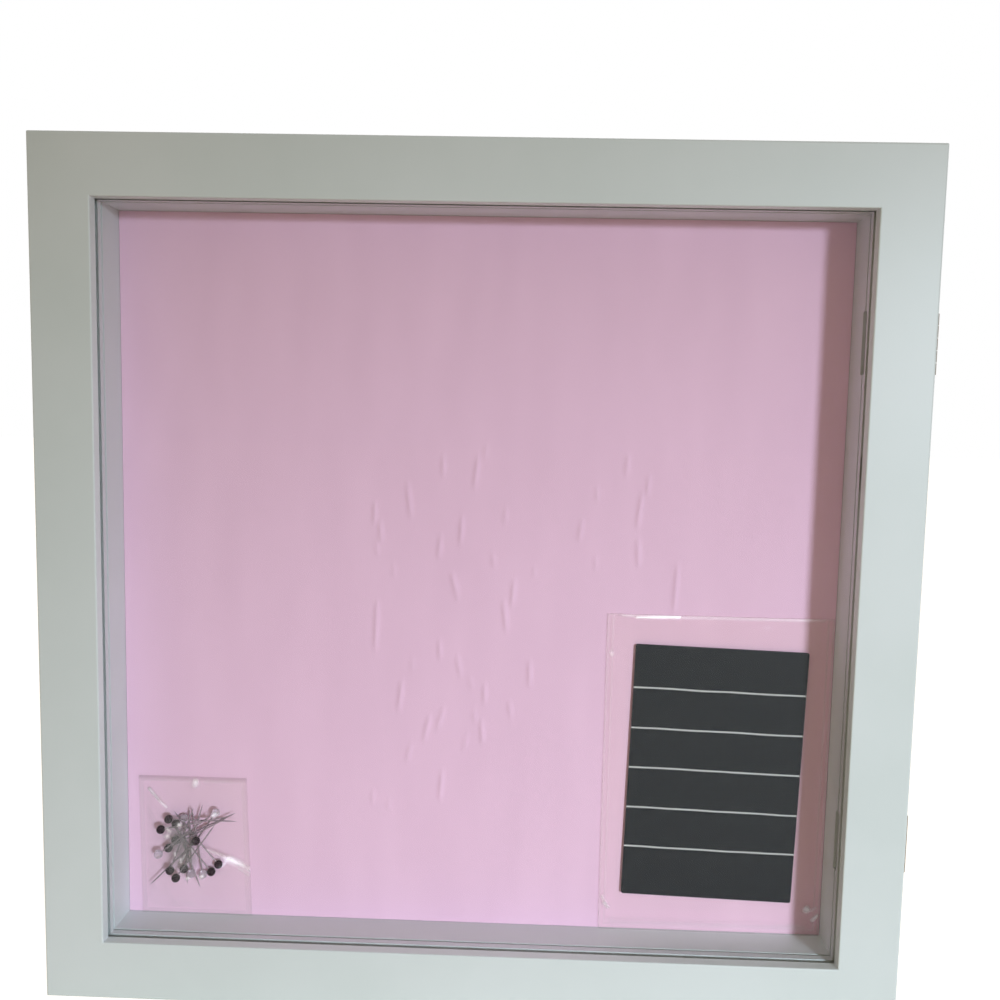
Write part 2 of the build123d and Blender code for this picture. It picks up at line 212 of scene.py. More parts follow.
def lining_cloth():
    """Matt pink cloth with a fine plain weave."""
    n = Nodes("lining_cloth")
    bsdf = n.principled(Roughness=0.9, Sheen_Weight=0.15, Sheen_Roughness=0.5)
    cloud = n.noise(0.03, detail=5, stretch=(0.4, 1, 2.0))
    n.link(n.ramp(cloud, (0.3, PINK_LOW), (0.7, PINK)), bsdf.inputs["Base Color"])
    thread = 0.00032
    axes = n.add("ShaderNodeSeparateXYZ")
    n.link(n.place(), axes.inputs[0])
    across = n.math("SINE", n.math("MULTIPLY", axes.outputs["X"], 2 * math.pi / thread))
    along = n.math("SINE", n.math("MULTIPLY", axes.outputs["Z"], 2 * math.pi / thread))
    weave = n.range(n.math("MULTIPLY", across, along), 0.0, 1.0, -1.0, 1.0)
    n.link(n.bump(weave, 0.00004, 0.4), bsdf.inputs["Normal"])
    return n.finish(bsdf.outputs[0])


def window_glass():
    """Clear pane: sees straight through, and mirrors more at a slant."""
    n = Nodes("window_glass")
    clear = n.add("ShaderNodeBsdfTransparent")
    clear.inputs["Color"].default_value = (0.993, 0.997, 0.995, 1)
    gloss = n.add("ShaderNodeBsdfGlossy")
    gloss.inputs["Roughness"].default_value = 0.01
    facing = n.add("ShaderNodeLayerWeight").outputs["Facing"]
    mirror = n.range(n.math("POWER", facing, 5.0), 0.008, 1.0)
    mix = n.add("ShaderNodeMixShader")
    n.link(mirror, mix.inputs["Fac"])
    n.link(clear.outputs[0], mix.inputs[1])
    n.link(gloss.outputs[0], mix.inputs[2])
    return n.finish(mix.outputs[0])


def clear_film(name, tint, grey_tint, mirror_low, wrinkle):
    """Thin wrinkled film: darker where it lies in two layers, with a painted shade at the bag's mouth;
    greyed by a painted shade of the pin heap where crushed; and bright with painted highlights along
    creases and at glints.
    """
    n = Nodes(name)
    clear = n.add("ShaderNodeBsdfTransparent")
    # Darker tint where the film lies in two layers, and where a painted shade is marked
    doubled_and_shaded = n.add("ShaderNodeAttribute", attribute_name="doubled_and_shaded").outputs["Fac"]
    n.link(n.ramp(doubled_and_shaded, (0.0, tint), (1.0, grey_tint)), clear.inputs["Color"])
    gloss = n.add("ShaderNodeBsdfGlossy")
    gloss.inputs["Roughness"].default_value = 0.12
    rough = n.noise(wrinkle, detail=3, roughness=0.6)
    n.link(n.bump(rough, 0.0004, 0.7), gloss.inputs["Normal"])
    facing = n.add("ShaderNodeLayerWeight").outputs["Facing"]
    mirror = n.range(n.math("POWER", facing, 5.0), mirror_low, 0.9)
    mix = n.add("ShaderNodeMixShader")
    n.link(mirror, mix.inputs["Fac"])
    n.link(clear.outputs[0], mix.inputs[1])
    n.link(gloss.outputs[0], mix.inputs[2])
    # Painted shade: a matt grey mixed in over the pin heap
    haze_shade = n.add("ShaderNodeBsdfDiffuse")
    haze_shade.inputs["Color"].default_value = CRUMPLE_SHADE_GREY
    # Painted highlights: a rough white gloss mixed in where the films are marked
    white = n.add("ShaderNodeBsdfGlossy")
    white.inputs["Color"].default_value = PAINTED_GLINT_WHITE
    white.inputs["Roughness"].default_value = 0.55
    surface = mix
    for mark, shader in (("crumple_shade", haze_shade), ("painted_glint", white)):
        marked = n.add("ShaderNodeMixShader")
        n.link(n.add("ShaderNodeAttribute", attribute_name=mark).outputs["Fac"], marked.inputs["Fac"])
        n.link(surface.outputs[0], marked.inputs[1])
        n.link(shader.outputs[0], marked.inputs[2])
        surface = marked
    return n.finish(surface.outputs[0])


def fibreboard():
    """Raw hardboard: matt brown with dark and light fibres."""
    n = Nodes("fibreboard")
    bsdf = n.principled(Roughness=0.85)
    fibre = n.noise(0.0022, detail=6, roughness=0.7)
    n.link(n.ramp(fibre, (0.3, FIBRE_LOW), (0.62, FIBRE)), bsdf.inputs["Base Color"])
    n.link(n.bump(fibre, 0.00012, 0.6), bsdf.inputs["Normal"])
    return n.finish(bsdf.outputs[0])


def soft_board():
    n = Nodes("soft_board")
    bsdf = n.principled(Roughness=0.95)
    grain = n.noise(0.0012, detail=4)
    n.link(n.ramp(grain, (0.3, srgb(214, 208, 196)), (0.7, BOARD_WHITE)), bsdf.inputs["Base Color"])
    n.link(n.bump(grain, 0.0001, 0.5), bsdf.inputs["Normal"])
    return n.finish(bsdf.outputs[0])


def metal(name, colour, roughness, brush):
    """Bare metal with brushed streaks, drawn out along brush."""
    n = Nodes(name)
    bsdf = n.principled(Base_Color=colour, Metallic=1.0)
    streak = n.noise(0.0004, detail=3, stretch=brush)
    n.link(n.range(streak, roughness - 0.06, roughness + 0.08), bsdf.inputs["Roughness"])
    n.link(n.bump(streak, 0.00001, 0.5), bsdf.inputs["Normal"])
    return n.finish(bsdf.outputs[0])


def dark_bead():
    n = Nodes("dark_bead")
    bsdf = n.principled(Roughness=0.3, Specular_IOR_Level=0.1)
    tone = n.noise(0.0015, detail=2)
    n.link(n.ramp(tone, (0.3, srgb(32, 18, 27)), (0.7, HEAD_BLACK)), bsdf.inputs["Base Color"])
    return n.finish(bsdf.outputs[0])


def clear_bead():
    n = Nodes("clear_bead")
    bsdf = n.principled(Roughness=0.08, IOR=1.5, Transmission_Weight=0.75)
    tone = n.noise(0.002, detail=2)
    n.link(n.ramp(tone, (0.3, srgb(214, 206, 214)), (0.7, HEAD_CLEAR)), bsdf.inputs["Base Color"])
    return n.finish(bsdf.outputs[0])


# Label card, ruled into bare rows
RULE_FIRST = 16.4 * MM
RULE_PITCH = 15.4 * MM
RULE_COUNT = 5
RULE_HALF = 0.3 * MM
CARD_TURN = math.radians(1.5)
CARD_HEIGHT = 97.0 * MM


def ruled_card():
    """Black card with thin white rules between bare rows."""
    n = Nodes("ruled_card")
    bsdf = n.principled(Roughness=0.5, Specular_IOR_Level=0.12)
    mapping = n.add("ShaderNodeMapping", vector_type="TEXTURE")
    mapping.inputs["Location"].default_value = card_middle
    mapping.inputs["Rotation"].default_value = (0, CARD_TURN, 0)
    n.link(n.place(), mapping.inputs["Vector"])
    axes = n.add("ShaderNodeSeparateXYZ")
    n.link(mapping.outputs[0], axes.inputs[0])
    waver = n.range(n.noise(0.02, detail=1), -0.35 * MM, 0.35 * MM)
    down = n.math("SUBTRACT", CARD_HEIGHT / 2 - RULE_FIRST, n.math("ADD", axes.outputs["Z"], waver))
    row = n.math("DIVIDE", down, RULE_PITCH)
    nearest = n.math("ROUND", row)
    off = n.math("MULTIPLY", n.math("ABSOLUTE", n.math("SUBTRACT", row, nearest)), RULE_PITCH)
    on_line = n.math("LESS_THAN", off, RULE_HALF)
    in_range = n.math(
        "MULTIPLY",
        n.math("GREATER_THAN", nearest, -0.5),
        n.math("LESS_THAN", nearest, RULE_COUNT - 0.5),
    )
    rule = n.math("MULTIPLY", on_line, in_range)
    grain = n.noise(0.0008, detail=3)
    black = n.ramp(grain, (0.3, srgb(25, 29, 34)), (0.7, CARD_BLACK))
    mix = n.add("ShaderNodeMix", data_type="RGBA")
    n.link(rule, mix.inputs[0])
    n.link(black, mix.inputs[6])
    mix.inputs[7].default_value = RULE_WHITE
    n.link(mix.outputs[2], bsdf.inputs["Base Color"])
    n.link(n.bump(grain, 0.00002, 0.4), bsdf.inputs["Normal"])
    return n.finish(bsdf.outputs[0])


MATERIALS = {
    "painted_wood": painted_wood(),
    "board": soft_board(),
    "lining": lining_cloth(),
    "back_board": fibreboard(),
    "steel": metal("zinc_steel", STEEL, 0.3, (1, 1, 8)),
    "hinge_steel": metal("satin_nickel", SLOT_SHADE_NICKEL, 0.36, (8, 1, 1)),
    "nickel": metal("bright_nickel", NICKEL, 0.14, (1, 1, 1)),
    "needle": metal("needle_steel", NEEDLE, 0.62, (1, 1, 1)),
    "glass": window_glass(),
    "film": clear_film("bag_film", (0.994, 0.998, 0.991, 1), (0.93, 0.925, 0.925, 1), 0.004, 0.004),
    "sleeve": clear_film("sleeve_film", (0.997, 0.997, 0.99, 1), (0.95, 0.94, 0.93, 1), 0.003, 0.009),
    "dark_heads": dark_bead(),
    "clear_heads": clear_bead(),
    "card": ruled_card(),
}


def dress(obj, slot, material=None):
    """Give a piece one material: this one, or else its slot's."""
    obj.data.materials.clear()
    obj.data.materials.append(material or MATERIALS[slot])


for part in frame["record"]["subparts"]:
    dress(nodes[part["node"]], part["material_slot"])


# Mesh helpers

def piece(name, mesh, slot, body, material=None, smooth=True):
    """A new object of the assembly that rides on a body."""
    obj = bpy.data.objects.new(name, mesh)
    bpy.context.scene.collection.objects.link(obj)
    mesh.polygons.foreach_set("use_smooth", [smooth] * len(mesh.polygons))
    dress(obj, slot, material)
    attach(obj, body)
    return obj


def steps(low, high, spacing):
    """Evenly spaced numbers from low up to, but without, high."""
    count = max(1, round((high - low) / spacing))
    return [low + (high - low) * i / count for i in range(count)]


def height_mesh(name, xs, zs, y_of):
    """A sheet over a grid of x and z, with y from a function."""
    mesh = bpy.data.meshes.new(name)
    points = [(x, y_of(x, z), z) for z in zs for x in xs]
    wide = len(xs)
    faces = []
    for j in range(len(zs) - 1):
        for i in range(wide - 1):
            a = j * wide + i
            faces.append((a, a + 1, a + wide + 1, a + wide))
    mesh.from_pydata(points, [], faces)
    mesh.update()
    return mesh


# Lining: cloth stretched over the board, with short upright creases where it has puckered

# Each crease as x and z of its upper end and of its lower end, in millimetres
CREASES = [
    (-38.6, 184, -38.9, 176), (-36.7, 177, -36.2, 169), (-38.1, 169, -37.3, 163.5),
    (-26.7, 191, -25.1, 179), (-31.6, 160.5, -31.2, 156.5), (-13.5, 202, -13.3, 194.5),
    (-0.5, 202, -1.7, 190), (2.8, 206.5, 1.8, 201.5), (-6.0, 179.5, -6.6, 169),
    (-13.8, 172, -14.8, 164), (10.3, 183, 9.7, 177.5), (5.4, 166, 6.3, 160.5),
    (21.2, 161.5, 21.0, 157), (-9.8, 158, -7.0, 148.5), (13.9, 156, 13.0, 146),
    (9.9, 148, 11.3, 136.5), (-37.5, 147, -38.1, 127.5), (43.4, 191.5, 43.9, 186),
    (38.6, 179, 37.3, 171.5), (43.8, 165.5, 44.0, 161), (54.8, 203.5, 54.0, 196),
    (62.8, 196, 61.9, 189), (60.4, 190.5, 58.7, 176.5), (59.2, 172, 59.9, 162.5),
    (74.3, 163.5, 73.5, 145.5), (-13.9, 132, -13.4, 125), (-24.0, 125, -24.0, 120),
    (-7.4, 126.5, -5.4, 119), (-2.7, 118.5, -0.7, 114), (-27.7, 116.5, -29.1, 105),
    (3.4, 116, 3.6, 108.5), (20.2, 125.5, 20.4, 116), (12.6, 110, 13.9, 103.5),
    (-0.2, 106.5, -0.1, 101.5), (-11.6, 106, -14.5, 98), (-16.9, 103.5, -19.4, 93.5),
    (2.5, 102, 3.1, 93), (-2.3, 96, -4.5, 90.5), (-24.0, 91.5, -25.8, 85),
    (-12.0, 81.5, -13.0, 70), (-38.4, 73, -38.7, 68), (-33.0, 70, -32.1, 66),
]
CREASE_RISE = 0.5 * MM
CREASE_HALF = 0.95 * MM
CREASE_STEP = 0.4 * MM
CLOTH_STEP = 6.0 * MM
CLOTH_THICK = 0.5 * MM
CLOTH_ROUND = 0.3 * MM
CLOTH_SPARE = 0.28 * MM     # how far the cloth reaches past the CAD lining, to the walls
CREASE_FIELD = (-42 * MM, 78 * MM, 62 * MM, 210 * MM)


def crease_rise(x, z):
    """How far the cloth stands proud of the board at this point."""
    rise = 0.0
    for x0, z0, x1, z1 in CREASES:
        top = Vector((x0, z0)) * MM
        along = Vector((x1, z1)) * MM - top
        length = along.length
        share = (Vector((x, z)) - top).dot(along) / length**2
        if not -0.05 < share < 1.05:
            continue
        aside = abs((x - top.x) * along.y - (z - top.y) * along.x) / length
        if aside > 3 * CREASE_HALF:
            continue
        taper = max(0.0, 1 - (2 * share - 1) ** 2)
        fade = min(1.0, length / (9 * MM))
        rise += CREASE_RISE * fade * math.sqrt(taper) * math.exp(-((aside / CREASE_HALF) ** 2))
    return rise


def make_lining():
    inset = CLOTH_ROUND - CLOTH_SPARE
    x0, x1 = lining_low.x + inset, lining_high.x - inset
    z0, z1 = lining_low.z + inset, lining_high.z - inset
    left, right, low, high = CREASE_FIELD
    fine, tall = CREASE_STEP, 4 * CREASE_STEP
    xs = steps(x0, left, CLOTH_STEP) + steps(left, right, fine) + steps(right, x1, CLOTH_STEP) + [x1]
    zs = steps(z0, low, CLOTH_STEP) + steps(low, high, tall) + steps(high, z1, CLOTH_STEP) + [z1]
    mesh = height_mesh("cloth_lining", xs, zs, lambda x, z: lining_low.y - crease_rise(x, z))
    build = bmesh.new()
    build.from_mesh(mesh)
    rim = [e for e in build.edges if e.is_boundary]
    depth = lining_high.y - lining_low.y
    turns = [(math.sin(a), 1 - math.cos(a)) for a in (math.pi / 8 * i for i in range(1, 5))]
    rings = [(out * CLOTH_ROUND, back * CLOTH_ROUND) for out, back in turns] + [(CLOTH_ROUND, depth)]
    for out, back in rings:
        made = bmesh.ops.extrude_edge_only(build, edges=rim)["geom"]
        for vert in (g for g in made if isinstance(g, bmesh.types.BMVert)):
            for axis, edge_low, edge_high in ((0, x0, x1), (2, z0, z1)):
                if vert.co[axis] <= edge_low + 1e-7:
                    vert.co[axis] = edge_low - out
                elif vert.co[axis] >= edge_high - 1e-7:
                    vert.co[axis] = edge_high + out
            vert.co.y = lining_low.y + back
        rim = [g for g in made if isinstance(g, bmesh.types.BMEdge) and g.is_boundary]
    bmesh.ops.recalc_face_normals(build, faces=build.faces)
    build.to_mesh(mesh)
    build.free()
    obj = piece("lining_cloth", mesh, "lining", "box")
    solid = obj.modifiers.new("thickness", "SOLIDIFY")
    solid.thickness = CLOTH_THICK
    solid.offset = -1
    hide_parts("lining")


make_lining()


# Turned pieces

def turned(build, rings, place, sides=24):
    """Add a turned shape through rings of (radius, height), closed below, and return its upper rim."""
    loops = []
    for radius, height in rings:
        turns = [2 * math.pi * i / sides for i in range(sides)]
        points = [Vector((radius * math.cos(a), radius * math.sin(a), height)) for a in turns]
        loops.append([build.verts.new(place @ point) for point in points])
    for lower, upper in zip(loops, loops[1:]):
        for i in range(sides):
            k = (i + 1) % sides
            build.faces.new((lower[i], lower[k], upper[k], upper[i]))
    build.faces.new(list(reversed(loops[0])))
    return loops[-1]


def mesh_of(name, build):
    bmesh.ops.recalc_face_normals(build, faces=build.faces)
    mesh = bpy.data.meshes.new(name)
    build.to_mesh(mesh)
    build.free()
    return mesh


def crease_edges(obj, degrees=35):
    """Smooth shading that keeps the edges sharper than this."""
    obj.data.set_sharp_from_angle(angle=math.radians(degrees))


def solids_of(name):
    """Lowest and highest corners of each separate solid of a node."""
    build = bmesh.new()
    build.from_mesh(nodes[name].data)
    bmesh.ops.remove_doubles(build, verts=build.verts, dist=1e-7)
    left = set(build.verts)
    found = []
    while left:
        stack = [left.pop()]
        points = []
        while stack:
            vert = stack.pop()
            points.append(vert.co.copy())
            for edge in vert.link_edges:
                other = edge.other_vert(vert)
                if other in left:
                    left.remove(other)
                    stack.append(other)
        low = Vector([min(p[i] for p in points) for i in range(3)])
        high = Vector([max(p[i] for p in points) for i in range(3)])
        found.append((low, high))
    build.free()
    return sorted(found, key=lambda corners: tuple(corners[0]))


def facing(direction):
    """Turn a shape made along +Z so that +Z points along +Y or -Y."""
    return Matrix.Rotation(-direction * math.pi / 2, 4, "X")


# Countersunk hinge screws with a cross recess, in millimetres
SCREW_HEAD = 1.8
SCREW_SHANK = 0.9
SCREW_CONE = 0.9
SCREW_POINT = 1.2
THREAD_PITCH = 0.8
THREAD_DEEP = 0.16
RECESS_REACH = 1.05
RECESS_HALF = 0.24
RECESS_DEEP = 0.65
RECESS_FIRST_TURN = 0.7     # each screw was left at its own turn, in radians
RECESS_TURN_STEP = 1.9
NAIL_POINT = 1.6


def cross_outline(reach, half, depth, place):
    points = []
    for i in range(4):
        turn = Matrix.Rotation(i * math.pi / 2, 3, "Z")
        for x, y in ((reach, -half), (reach, half), (half, half)):
            points.append(place @ (turn @ Vector((x, y, -depth)) * MM))
    return points


def add_screw(build, place, length):
    rings = [(0.1, -length), (SCREW_SHANK - THREAD_DEEP, SCREW_POINT - length)]
    threads = int((length - SCREW_POINT - SCREW_CONE) / THREAD_PITCH)
    for i in range(threads):
        start = SCREW_POINT - length + (i + 0.25) * THREAD_PITCH
        rings += [
            (SCREW_SHANK - THREAD_DEEP, start),
            (SCREW_SHANK, start + THREAD_PITCH * 0.3),
            (SCREW_SHANK - THREAD_DEEP, start + THREAD_PITCH * 0.6),
        ]
    rings += [(SCREW_SHANK - THREAD_DEEP, -SCREW_CONE), (SCREW_HEAD, 0)]
    rim = turned(build, [(r * MM, h * MM) for r, h in rings], place, sides=32)
    mouth = [build.verts.new(p) for p in cross_outline(RECESS_REACH, RECESS_HALF, 0, place)]
    floor_outline = cross_outline(RECESS_REACH * 0.6, RECESS_HALF * 0.7, RECESS_DEEP, place)
    floor = [build.verts.new(p) for p in floor_outline]
    loops = []
    for loop in (rim, mouth):
        for pair in zip(loop, loop[1:] + loop[:1]):
            loops.append(build.edges.get(pair) or build.edges.new(pair))
    bmesh.ops.triangle_fill(build, use_beauty=True, edges=loops)
    for i in range(len(mouth)):
        k = (i + 1) % len(mouth)
        build.faces.new((mouth[i], mouth[k], floor[k], floor[i]))
    build.faces.new(floor)


bodies = frame["record"]["behaviour"]["bodies"]
body_of = {node: body for body, names in bodies.items() for node in names}


def screws(name, direction):
    """Screws in place of a node's plain ones, their heads facing along direction."""
    build = bmesh.new()
    for i, (low, high) in enumerate(solids_of(name)):
        middle = (low + high) / 2
        middle.y = high.y if direction > 0 else low.y
        turn = Matrix.Rotation(RECESS_FIRST_TURN + RECESS_TURN_STEP * i, 4, "Z")
        add_screw(build, Matrix.Translation(middle) @ facing(direction) @ turn, (high.y - low.y) / MM)
    obj = piece(f"{name}_detailed", mesh_of(name, build), "steel", body_of[name])
    crease_edges(obj)
    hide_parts(name)


def nails(name, head_radius, head_thick, radius):
    """Flat-headed nails in place of a node's plain ones, driven in from the back."""
    build = bmesh.new()
    r, t = head_radius, head_thick
    for low, high in solids_of(name):
        middle = (low + high) / 2
        middle.y = high.y
        length = (high.y - low.y) / MM
        rings = [
            (0.06, -length), (radius, NAIL_POINT - length), (radius, -t),
            (r - 0.12, -t), (r, 0.15 - t), (r, -0.22), (r - 0.1, -0.08),
            (r * 0.72, -0.01), (r * 0.66, 0), (r * 0.62, -0.05), (r * 0.3, -0.05),
        ]
        place = Matrix.Translation(middle) @ facing(1)
        build.faces.new(turned(build, [(a * MM, h * MM) for a, h in rings], place, sides=28))
    obj = piece(f"{name}_detailed", mesh_of(name, build), "steel", body_of[name])
    crease_edges(obj)
    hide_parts(name)


screws("box_hinge_screws", -1)
screws("door_hinge_screws", 1)
nails("back_panel_nails", 1.6, 0.8, 0.7)
nails("hanger_nails", 1.5, 0.6, 0.6)


# Pins: a loose heap of ball-headed pins in the bag, in millimetres

HEAD_RADIUS = 1.6
SHAFT_RADIUS = 0.26
PIN_REACH = 26.6      # from the head's middle to the tip
PIN_POINT = 3.5       # length of the tapered end
PIN_GAP = 0.05
HEAP_SEED = 129
HEAP_ROUNDS = 500

# Each pin's head and the point that it is turned to, from the bag's lower left corner
DARK_PINS = [
    (12.5, 39.5, 39.5, 40.1), (14.8, 37.2, 24.3, 12.1), (10.0, 36.0, 36.3, 42.6), (23.2, 31.6, 5.7, 13.8),
    (12.2, 27.9, 34.5, 40.7), (14.4, 30.4, 38.0, 42.5), (13.3, 19.8, 22.9, 45.8), (18.1, 19.8, 26.4, 49.0),
    (15.6, 17.0, 31.7, 39.8), (30.8, 21.2, 13.5, 41.0), (28.0, 18.1, 10.5, 38.5),
]
CLEAR_PINS = [
    (30.5, 42.5, 15.1, 20.2), (9.0, 26.2, 30.0, 42.9), (20.5, 17.2, 19.5, 43.0), (24.9, 17.2, 20.5, 43.7),
    (17.6, 39.2, 18.5, 13.0),
]

bag_wide = (bag_high.x - bag_low.x) / MM
bag_tall = (bag_high.z - bag_low.z) / MM
bag_deep = (bag_high.y - bag_front_y) / MM
FILM_SPARE = 0.45     # between the films' outer faces and the nearest pin


def pin_line(pin):
    """Head and tip of a pin in the plane of the bag."""
    head = Vector(pin[:2])
    return head, head + (Vector(pin[2:]) - head).normalized() * PIN_REACH


def pin_contacts(lines):
    """Pairs that cross, as (pin, share along it, pin, share along it, least distance in depth)."""
    found = []
    for i, (a, b) in enumerate(lines):
        for j, (c, d) in enumerate(lines):
            if i == j:
                continue
            along = d - c
            share = min(1.0, max(0.0, (a - c).dot(along) / along.length_squared))
            near = (a - c - share * along).length
            need = HEAD_RADIUS + SHAFT_RADIUS + PIN_GAP
            if near < need:
                found.append((i, 0.0, j, share, math.sqrt(need**2 - near**2)))
            if i > j:
                continue
            need = 2 * HEAD_RADIUS + PIN_GAP
            if (a - c).length < need:
                found.append((i, 0.0, j, 0.0, math.sqrt(need**2 - (a - c).length_squared)))
            cross = (b - a).cross(along)
            if abs(cross) > 1e-6:
                s, t = (c - a).cross(along) / cross, (c - a).cross(b - a) / cross
                if 0 <= s <= 1 and 0 <= t <= 1:
                    found.append((i, s, j, t, 2 * SHAFT_RADIUS + PIN_GAP))
    return found


def settle_pins(lines):
    """Height of each pin's head and tip over the back film, so that none passes through another."""
    rng = random.Random(HEAP_SEED)
    contacts = pin_contacts(lines)
    low, high = FILM_SPARE, bag_deep - FILM_SPARE
    heights = []
    for _ in lines:
        head = rng.uniform(low + HEAD_RADIUS, high - HEAD_RADIUS)
        heights.append([head, head + rng.uniform(-1.5, 1.5)])
    for _ in range(HEAP_ROUNDS):
        for i, s, j, t, need in contacts:
            a = heights[i][0] * (1 - s) + heights[i][1] * s
            b = heights[j][0] * (1 - t) + heights[j][1] * t
            lack = need - abs(a - b)
            if lack <= 0:
                continue
            push = lack / 2 if a >= b else -lack / 2
            for pin, share, way in ((i, s, push), (j, t, -push)):
                spread = (1 - share) ** 2 + share**2
                heights[pin][0] += way * (1 - share) / spread
                heights[pin][1] += way * share / spread
        for pair in heights:
            pair[0] = min(high - HEAD_RADIUS, max(low + HEAD_RADIUS, pair[0]))
            pair[1] = min(high - SHAFT_RADIUS, max(low + SHAFT_RADIUS, pair[1]))
    return heights


def in_bag(u, v, height):
    """A point of the bag: millimetres across and up from its lower left corner, and out from its back."""
    return Vector((bag_low.x + u * MM, bag_high.y - height * MM, bag_low.z + v * MM))


def make_pins():
    pins = [pin_line(p) for p in DARK_PINS + CLEAR_PINS]
    heads = {"dark": bmesh.new(), "clear": bmesh.new()}
    shafts = bmesh.new()
    placed = []
    for i, ((head, tip), (head_up, tip_up)) in enumerate(zip(pins, settle_pins(pins))):
        start, end = in_bag(*head, head_up), in_bag(*tip, tip_up)
        along = (end - start).to_track_quat("Z", "Y").to_matrix().to_4x4()
        place = Matrix.Translation(start) @ along
        kind = "dark" if i < len(DARK_PINS) else "clear"
        bmesh.ops.create_uvsphere(
            heads[kind], u_segments=28, v_segments=18, radius=HEAD_RADIUS * MM, matrix=place
        )
        reach = (end - start).length / MM
        r = SHAFT_RADIUS
        rings = [
            (r, HEAD_RADIUS * 0.9), (r, reach - PIN_POINT), (r * 0.8, reach - PIN_POINT * 0.6),
            (r * 0.35, reach - PIN_POINT * 0.2), (0.02, reach),
        ]
        shafts.faces.new(turned(shafts, [(a * MM, h * MM) for a, h in rings], place, sides=14))
        placed.append((head, head_up, tip, tip_up))
    for kind, build in heads.items():
        obj = piece(f"{kind}_ball_heads", mesh_of(kind, build), f"{kind}_heads", "box")
        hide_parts(f"{kind}_pin_heads")
    obj = piece("needle_shafts", mesh_of("needle_shafts", shafts), "steel", "box", MATERIALS["needle"])
    crease_edges(obj)
    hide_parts("pin_shafts")
    return placed


# Pin bag: two thin films, joined all round and drawn over the heap, in millimetres

FILM_STEP = 0.45
FILM_SEAM = 2.2
FILM_THICK = 0.06
FILM_RISE = 0.6       # slope of the front film up from its seams
TENT_SLOPE = 0.42
FILM_OVER = 0.15      # from a pin to the middle of the film drawn over it
BAG_LEAN = 0.026      # drift to the left for each millimetre up
BAG_TAPER = 0.026     # share of its width that the bag loses from bottom to top
BAG_CRUMPLE = ((7, 3.7, 0.28), (3, 8.1, 0.1))     # sizes, seeds and heights
FRONT_REST = 0.42     # height of the front film where it lies flat
FRONT_LEAST = 0.4
FRONT_SPARE = 0.05
BACK_REST = 0.12
BACK_RISE = 0.14
BACK_CRUMPLE = (6, 1.3)
WELD_RISE = 0.05
WELD_PITCH = 0.9
RIM_HALF = 0.5        # half width of the marks along a film's cut edge: a painted bright line, and a darker band of two layers
MOUTH_DOWN = 0.7      # the bag's folded mouth: its place below the top, and its half width
MOUTH_HALF = 0.8
# Folds between the heap and the edges, as two ends, height and half width
BAG_FOLDS = [
    (0.8, 46.0, 9.5, 38.5, 0.5, 0.9), (25.0, 24.5, 42.5, 15.2, 0.9, 1.6),
    (30.0, 33.0, 42.6, 38.0, 0.45, 1.0), (20.0, 40.0, 27.5, 51.5, 0.5, 1.0),
    (8.0, 13.0, 2.0, 3.5, 0.45, 0.9), (24.0, 12.0, 33.0, 2.5, 0.5, 1.1),
    (14.0, 12.0, 15.5, 2.0, 0.35, 0.8), (12.0, 39.0, 7.0, 51.0, 0.35, 0.9),
    (33.0, 33.5, 40.0, 49.0, 0.35, 1.2),
]

# Painted highlights of the front film, at creases and glints: two ends, a half width at both, and a
# strength
BAG_PAINTED_GLINTS = [
    (4.0, 50.1, 8.0, 47.2, 0.42, 0.36, 0.75), (8.0, 47.2, 12.0, 44.3, 0.36, 0.25, 0.38),
    (28.0, 28.4, 34.6, 24.0, 0.5, 0.8, 0.24), (34.6, 24.0, 42.4, 18.6, 1.0, 1.4, 0.3),
    (36.1, 23.0, 40.2, 20.0, 0.6, 0.6, 0.5), (38.3, 19.4, 42.0, 16.4, 0.4, 0.6, 0.22),
    (21.7, 53.1, 21.7, 52.4, 1.1, 1.1, 0.5), (25.5, 53.3, 35.5, 53.6, 0.7, 0.7, 0.1),
    (17.5, 38.6, 17.8, 38.6, 0.7, 0.7, 0.5), (30.7, 42.3, 31.3, 42.5, 0.7, 0.6, 0.4),
    (12.5, 33.7, 12.8, 33.8, 0.8, 0.7, 0.35), (13.0, 36.9, 13.9, 35.8, 0.5, 0.5, 0.3),
    (20.3, 17.1, 20.5, 17.2, 0.6, 0.5, 0.45), (25.1, 17.1, 25.3, 17.2, 0.7, 0.6, 0.5),
    (22.2, 29.0, 22.4, 28.2, 0.4, 0.4, 0.25), (15.5, 27.1, 15.6, 26.2, 0.45, 0.4, 0.3),
    (17.6, 24.6, 17.8, 23.4, 0.4, 0.5, 0.35), (19.4, 26.3, 18.4, 24.5, 0.35, 0.35, 0.25),
]
# Grey patches where the front film lies crushed over the middle of the heap: a hazy film, with a painted
# shade of the pins and their shadows
BAG_CRUMPLE_SHADE = [(16.3, 35.0, 17.5, 24.5, 4.2, 4.4, 0.3), (18.5, 31.5, 20.5, 25.5, 3.2, 3.4, 0.34)]


def fold_height(u, v, folds):
    """Height of the folds, over arrays of places."""
    total = np.zeros_like(u)
    for u0, v0, u1, v1, rise, half in folds:
        du, dv = u1 - u0, v1 - v0
        length = math.hypot(du, dv)
        share = ((u - u0) * du + (v - v0) * dv) / length**2
        aside = ((u - u0) * dv - (v - v0) * du) / length
        body = np.clip(1 - (2 * share - 1) ** 2, 0, 1) ** 0.5
        total += rise * body * np.exp(-((aside / half) ** 2))
    return total


def soft_noise(u, v, size, seed):
    """Smooth noise of about -1 to 1 over arrays of places."""
    flat = [noise.noise(Vector((a / size, b / size, seed))) for a, b in zip(u.ravel(), v.ravel())]
    return 2 * np.array(flat).reshape(u.shape)


